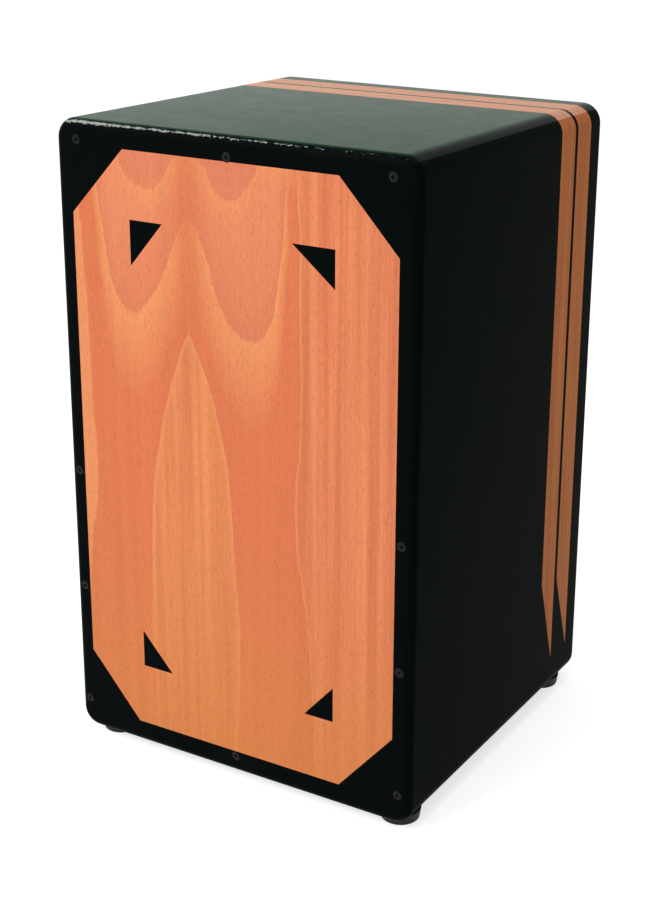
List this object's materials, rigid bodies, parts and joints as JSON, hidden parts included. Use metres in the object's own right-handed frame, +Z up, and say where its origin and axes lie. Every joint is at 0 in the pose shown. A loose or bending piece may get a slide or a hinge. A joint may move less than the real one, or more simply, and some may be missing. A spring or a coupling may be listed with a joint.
{
  "type": "cajon",
  "caption": "Box drum that is sat on, with a thin striking plate in front, a sound hole in the back, rubber feet and snare wires on a tipping bar.",
  "frame": {"origin": "centre of the footprint, on the surface that the feet stand on", "axes": "-Y out of the striking plate, +Y out of the sound hole, +Z up, +X to the right as seen from the front"},
  "size_m": [0.298, 0.294, 0.491],
  "materials": {
    "tapa_wood": "satin clear coat on orange-toned beech, black painted border and triangles",
    "painted_ply": "satin black paint with two bare wood stripes",
    "raw_wood": "bare sanded wood",
    "black_screw": "black oxide",
    "steel": "bright zinc",
    "felt": "pressed felt",
    "knob_wood": "turned and oiled",
    "rubber": "moulded"
  },
  "bodies": {
    "box": {"tapa": "tapa_wood", "back_panel": "painted_ply", "seat_panel": "painted_ply", "base_panel": "painted_ply", "left_side_panel": "painted_ply", "right_side_panel": "painted_ply", "top_front_rail": "raw_wood", "bottom_front_rail": "raw_wood", "top_rear_rail": "raw_wood", "bottom_rear_rail": "raw_wood", "left_rear_rail": "raw_wood", "right_rear_rail": "raw_wood", "left_top_corner_block": "raw_wood", "right_top_corner_block": "raw_wood", "left_bottom_corner_block": "raw_wood", "right_bottom_corner_block": "raw_wood", "tapa_screws": "black_screw", "back_screws": "black_screw", "bearing_screws": "steel", "left_bearing_block": "raw_wood", "right_bearing_block": "raw_wood", "front_left_foot": "rubber", "front_right_foot": "rubber", "rear_left_foot": "rubber", "rear_right_foot": "rubber", "foot_washers": "steel", "foot_screws": "steel"},
    "snare": {"snare_bar": "raw_wood", "felt_washers": "felt", "left_snare_plate": "steel", "right_snare_plate": "steel", "left_snare_wires": "steel", "right_snare_wires": "steel", "snare_plate_screws": "steel", "snare_lever": "steel", "lever_knob": "knob_wood"}
  },
  "joints": [
    {"name": "snare_bar_tilt", "type": "hinge", "parent": "box", "child": "snare", "pos_m": [0, -0.1314, 0.343], "axis": [-1, 0, 0], "range_deg": [0, 12]}
  ]
}
